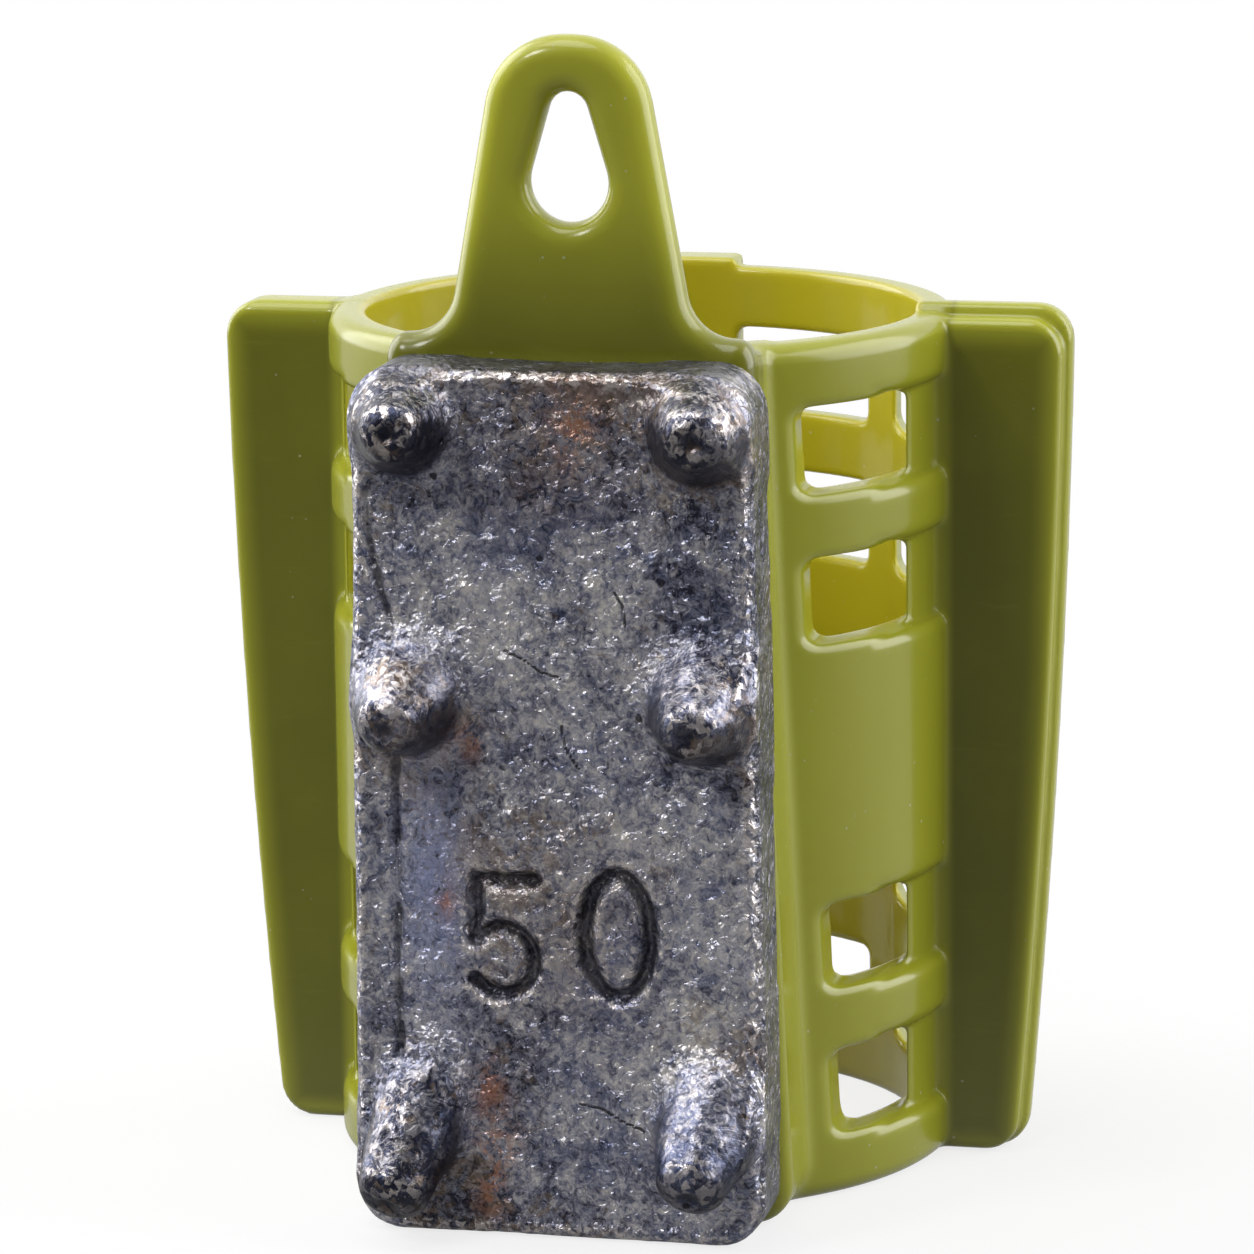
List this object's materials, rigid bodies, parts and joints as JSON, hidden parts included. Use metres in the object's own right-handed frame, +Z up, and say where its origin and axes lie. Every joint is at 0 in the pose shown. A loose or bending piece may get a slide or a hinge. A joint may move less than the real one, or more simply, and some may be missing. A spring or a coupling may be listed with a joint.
{
  "type": "fishing feeder",
  "caption": "Open plastic cage feeder: a hooped tube with windows, side wings and a line loop, and a studded lead weight riveted to its flat front pad.",
  "frame": {"origin": "on the tube's axis, in the plane of its lower end", "axes": "+Z up the tube's axis towards the line loop, the lead faces -Y, the wings lie along X"},
  "size_m": [0.0484, 0.0445, 0.0643],
  "materials": {
    "olive_plastic": "semi-gloss, slightly translucent moulding",
    "cast_lead": "dull mottled casting with worn bright edges"
  },
  "bodies": {
    "root": {"cage_body": "olive_plastic", "lead_weight": "cast_lead"}
  },
  "joints": []
}
